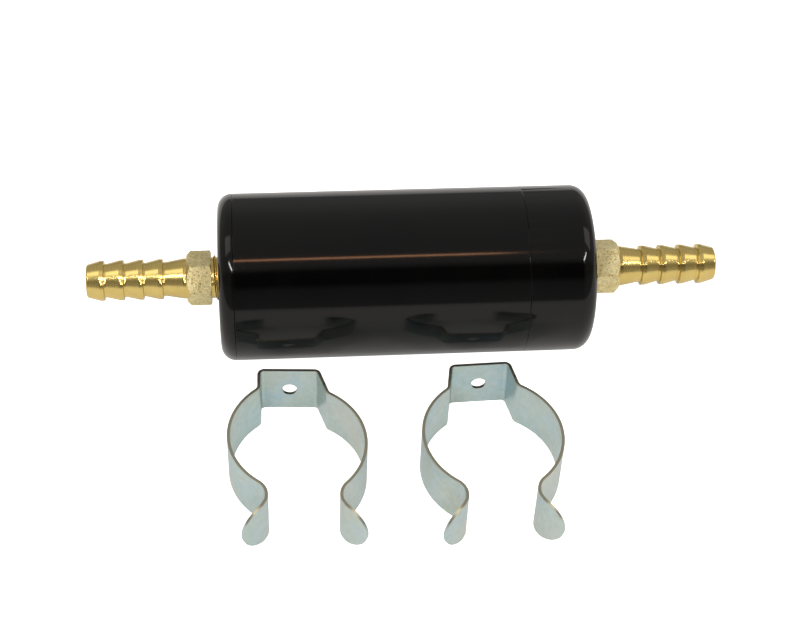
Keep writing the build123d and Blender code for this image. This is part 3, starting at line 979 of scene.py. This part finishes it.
def bendTip(bender, hand, width, throatLeft):
    # the last stretch narrows to a half circle as wide as the strip
    s = strip
    reach = width / 2
    total = throatLeft + s["tip"]
    steps = s["tipSteps"]
    past, height = 0.0, 1.0
    for i in range(1, steps + 1):
        along = total - reach + reach * math.sin(math.pi / 2 * i / steps) * s["tipShare"]
        length = along - past
        past = along
        newHeight = math.cos(math.pi / 2 * i / steps) if i < steps else s["tipWidth"]
        radius = s["throatRadius"] if along <= throatLeft else s["tipRadius"]
        bender.bend(radius, length / radius * hand, 1)
        bender.narrow(newHeight / height)
        height = newHeight


def makeArm(clip, side, low, high):
    s = strip
    splay, legLength, *turns = armBends[f"{clip}_{side}"]
    splay, footTurn, gripTurn, throatTurn = (math.radians(value) for value in (splay, *turns))
    hand = 1 if side == "right" else -1
    hole = mounts[f"{clip}_screw_hole"]
    slant = math.atan2(hole["axis"][0], -hole["axis"][1])
    knuckle = Vector(joints[f"{clip}_{side}_spring"]["pos_m"])
    # the leg's heading, seen from above: along the bridge, then turned towards the mouth
    heading = slant - (math.pi / 2 - splay) if hand > 0 else slant + math.pi + (math.pi / 2 - splay)
    leg = Vector((math.cos(heading), math.sin(heading), 0))
    legShare = legLength * (1 - s["seamAlongLeg"])
    bender = StripBender(f"{clip}_{side}Arm", knuckle - leg * legShare, heading, low, high)
    bender.straight(legShare, s["legSteps"])
    bender.bend(s["footRadius"], hand * footTurn, s["footSteps"])
    bender.bend(s["gripRadius"], -hand * gripTurn, s["gripSteps"])
    width = high - low
    # the round end takes in the tip and the last part of the throat
    throatLeft = width / 2 - s["tip"] + s["tipOverlap"]
    bender.bend(s["throatRadius"], hand * (throatTurn - throatLeft / s["throatRadius"]), s["throatSteps"])
    bendTip(bender, hand, width, throatLeft)
    piece = bender.done()
    softenEdges(piece, s["edge"], s["bevelAngle"])
    reach = Vector((0, -s["blendReach"], 0))
    body = (clip, f"{clip}_{side}_arm", knuckle, knuckle + reach)
    finishPiece(piece, body, [f"{clip}_{side}_arm"], [zincPlate])


def makeBridge(clip, low, high):
    s = strip
    hole = mounts[f"{clip}_screw_hole"]
    slant = math.atan2(hole["axis"][0], -hole["axis"][1])
    leftSplay, rightSplay = (math.radians(armBends[f"{clip}_{side}"][0]) for side in ("left", "right"))
    leftLeg, rightLeg = (armBends[f"{clip}_{side}"][1] for side in ("left", "right"))
    knuckle = Vector(joints[f"{clip}_left_spring"]["pos_m"])
    heading = slant + math.pi + (math.pi / 2 - leftSplay)
    leg = Vector((math.cos(heading), math.sin(heading), 0))
    start = knuckle - leg * leftLeg * (1 - s["seamAlongLeg"])
    bender = StripBender(f"{clip}_bridgeStrip", start, heading + math.pi, low, high)
    bender.straight(leftLeg * s["seamAlongLeg"], s["halfLegSteps"])
    bender.bend(s["cornerRadius"], -(math.pi / 2 - leftSplay), s["cornerSteps"])
    bender.straight(2 * s["bridgeHalf"], s["bridgeSteps"])
    bender.bend(s["cornerRadius"], -(math.pi / 2 - rightSplay), s["cornerSteps"])
    bender.straight(rightLeg * s["seamAlongLeg"], s["halfLegSteps"])
    piece = bender.done()
    bpy.ops.object.select_all(action="DESELECT")
    bpy.ops.mesh.primitive_cylinder_add(
        vertices=s["holeSteps"], radius=s["hole"], depth=s["drillLength"], location=hole["pos_m"],
        rotation=(math.pi / 2, 0, slant),
    )
    drill = bpy.context.object
    settle(drill)
    combine(piece, drill, "DIFFERENCE")
    softenEdges(piece, s["edge"], s["bevelAngle"])
    finishPiece(piece, clip, [f"{clip}_bridge"], [zincPlate])


def makeClips():
    for clip in ("clip_1", "clip_2"):
        low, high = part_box(f"{clip}_bridge")
        makeBridge(clip, low.z, high.z)
        for side in ("left", "right"):
            makeArm(clip, side, low.z, high.z)


makeClips()
print("clips bent")

bpy.context.view_layer.update()
